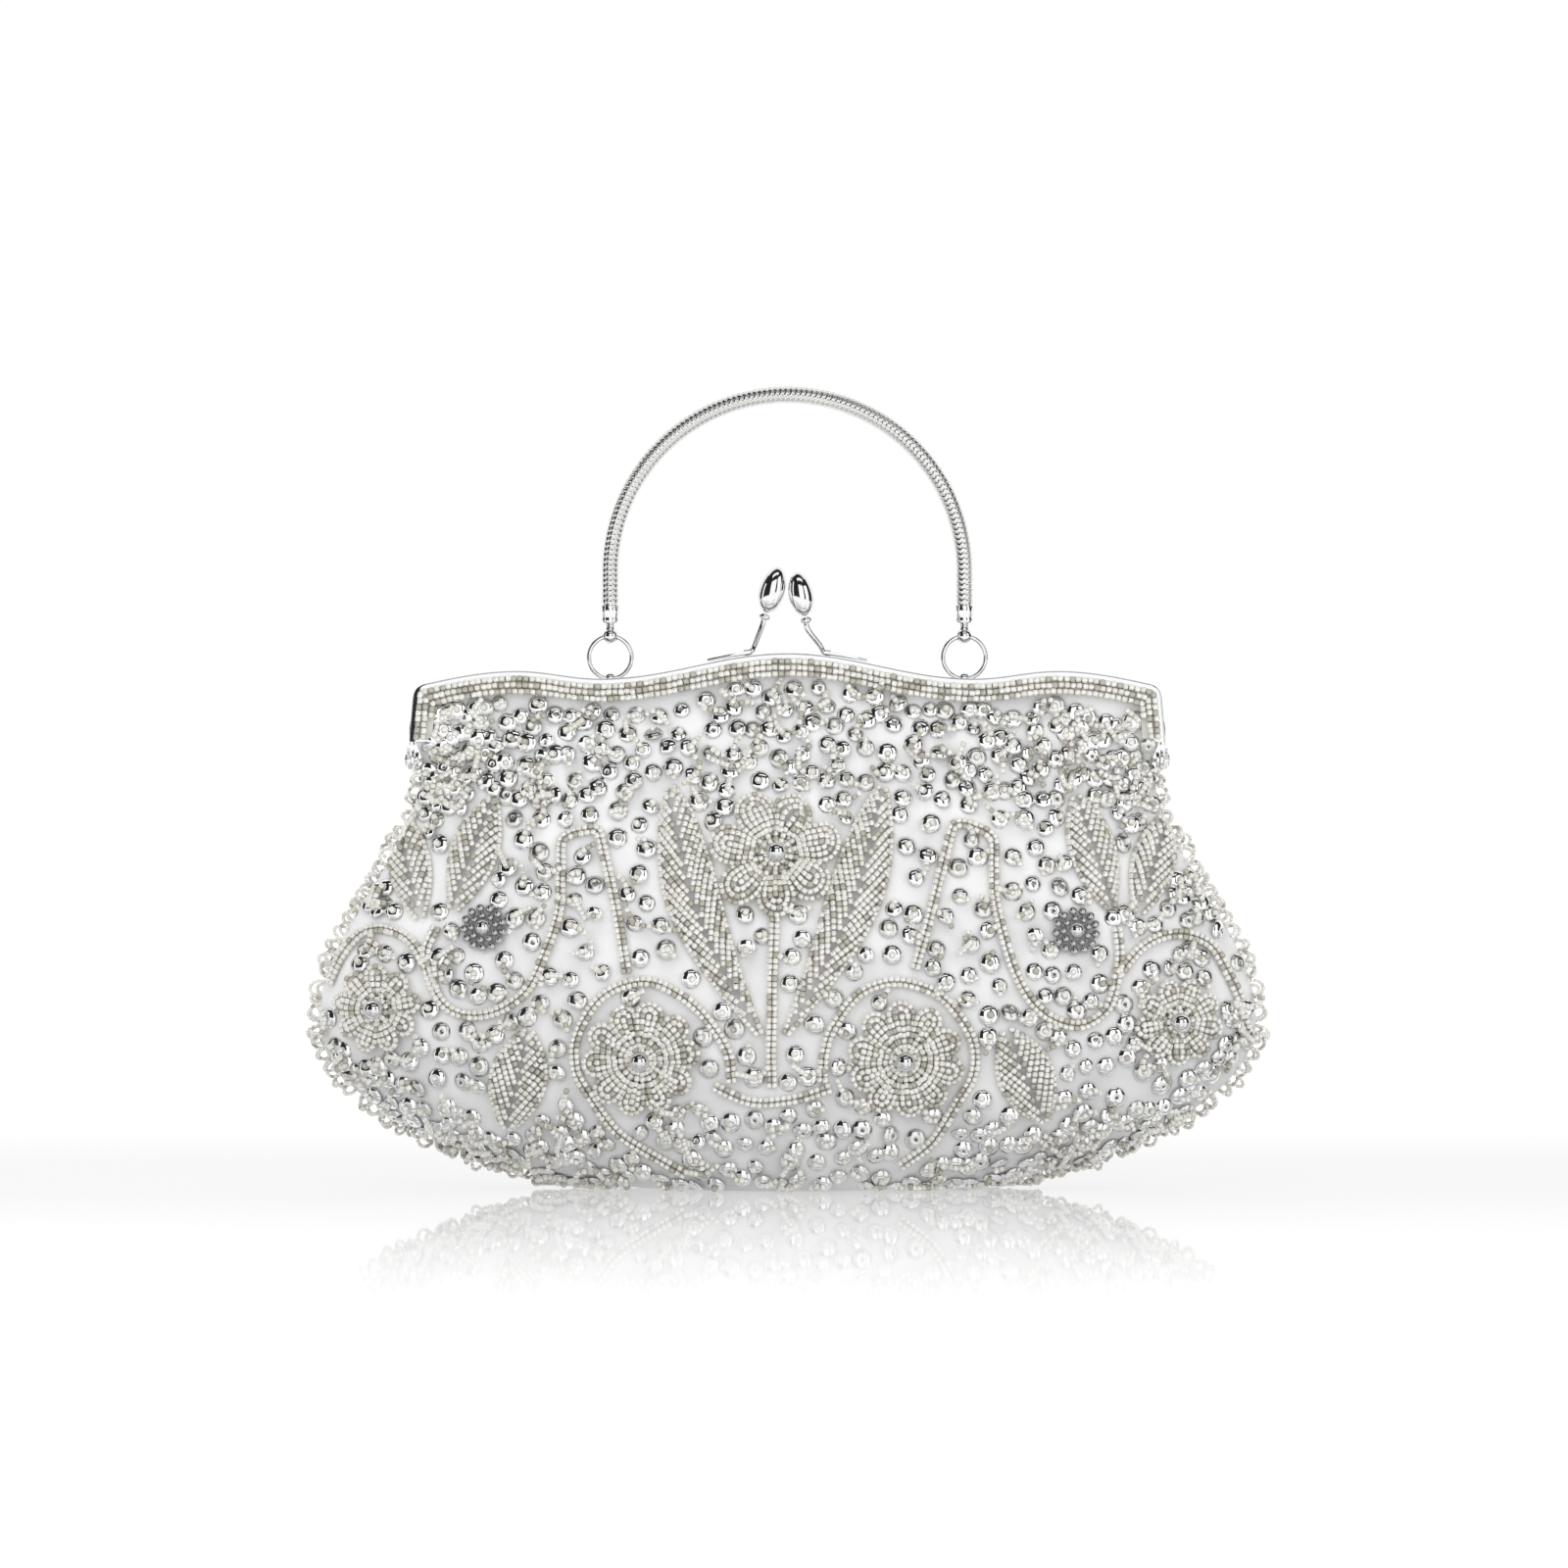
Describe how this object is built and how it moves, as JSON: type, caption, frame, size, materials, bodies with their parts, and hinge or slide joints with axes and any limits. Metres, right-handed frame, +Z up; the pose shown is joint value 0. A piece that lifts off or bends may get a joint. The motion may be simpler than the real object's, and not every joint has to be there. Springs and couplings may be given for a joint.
{
  "type": "evening bag",
  "caption": "Beaded satin evening bag on a hinged metal frame with a ball clasp and a stiff snake-chain handle hung on rings.",
  "frame": {"origin": "on the ground under the middle of the whole bag", "axes": "+X along the bag's width to the viewer's right, -Y towards the beaded front, +Z up to the handle"},
  "size_m": [0.282, 0.0628, 0.2413],
  "materials": {
    "nickel": "polished nickel plate",
    "snake_chain": "woven snake chain, bright nickel",
    "satin": "silver-white satin, sewn all over with sequins",
    "glass_beads": "silver-lined clear seed beads",
    "silver_beads": "bright metallised beads and cupped sequins",
    "wadding": "thin needled wadding",
    "lining": "silver-grey satin lining",
    "paper_cord": "twisted paper cord"
  },
  "bodies": {
    "pouch": {"rear_frame": "nickel", "hinge_rivet_right": "nickel", "hinge_rivet_left": "nickel", "rear_bead_trim": "glass_beads", "rear_frame_cord": "paper_cord", "rear_clasp_stem": "nickel", "rear_clasp_ball": "nickel", "handle_lug_left": "nickel", "handle_lug_right": "nickel", "front_panel": "satin", "rear_panel": "satin", "front_padding": "wadding", "rear_padding": "wadding", "front_lining": "lining", "rear_lining": "lining", "slip_pocket": "lining", "flower_centre": "glass_beads", "flower_inner_left": "glass_beads", "flower_inner_right": "glass_beads", "flower_outer_left": "glass_beads", "flower_outer_right": "glass_beads", "flower_centre_bead": "silver_beads", "flower_inner_left_bead": "silver_beads", "flower_inner_right_bead": "silver_beads", "flower_outer_left_bead": "silver_beads", "flower_outer_right_bead": "silver_beads", "rosette_left": "silver_beads", "rosette_right": "silver_beads", "leaf_centre_left": "glass_beads", "leaf_centre_right": "glass_beads", "leaf_upper_left": "glass_beads", "leaf_upper_right": "glass_beads", "leaf_side_left": "glass_beads", "leaf_side_right": "glass_beads", "leaf_lower_left": "glass_beads", "leaf_lower_right": "glass_beads"},
    "front_half": {"front_frame": "nickel", "front_bead_trim": "glass_beads", "front_frame_cord": "paper_cord", "front_clasp_stem": "nickel", "front_clasp_ball": "nickel", "front_panel_top": "satin", "front_lining_top": "lining"},
    "left_ring": {"handle_ring_left": "nickel"},
    "right_ring": {"handle_ring_right": "nickel"},
    "handle": {"handle_eye_left": "nickel", "handle_ferrule_left": "nickel", "handle_eye_right": "nickel", "handle_ferrule_right": "nickel", "snake_chain_handle": "snake_chain"}
  },
  "joints": [
    {"name": "frame_open", "type": "hinge", "parent": "pouch", "child": "front_half", "pos_m": [0, 0.0031, 0.1285], "axis": [1, 0, 0], "range_deg": [0, 75], "deforming": ["front_panel_top", "front_lining_top"]},
    {"name": "left_ring_swing", "type": "hinge", "parent": "pouch", "child": "left_ring", "pos_m": [-0.0535, 0.0112, 0.153], "axis": [1, 0, 0], "range_deg": [-100, 35]},
    {"name": "right_ring_swing", "type": "hinge", "parent": "pouch", "child": "right_ring", "pos_m": [0.0535, 0.0112, 0.153], "axis": [1, 0, 0], "range_deg": [-100, 35]},
    {"name": "handle_swing", "type": "hinge", "parent": "left_ring", "child": "handle", "pos_m": [-0.0535, 0.0112, 0.1659], "axis": [1, 0, 0], "range_deg": [-70, 75]}
  ],
  "couplings": [
    {"joint": "right_ring_swing", "follows": "left_ring_swing", "ratio": 1}
  ]
}
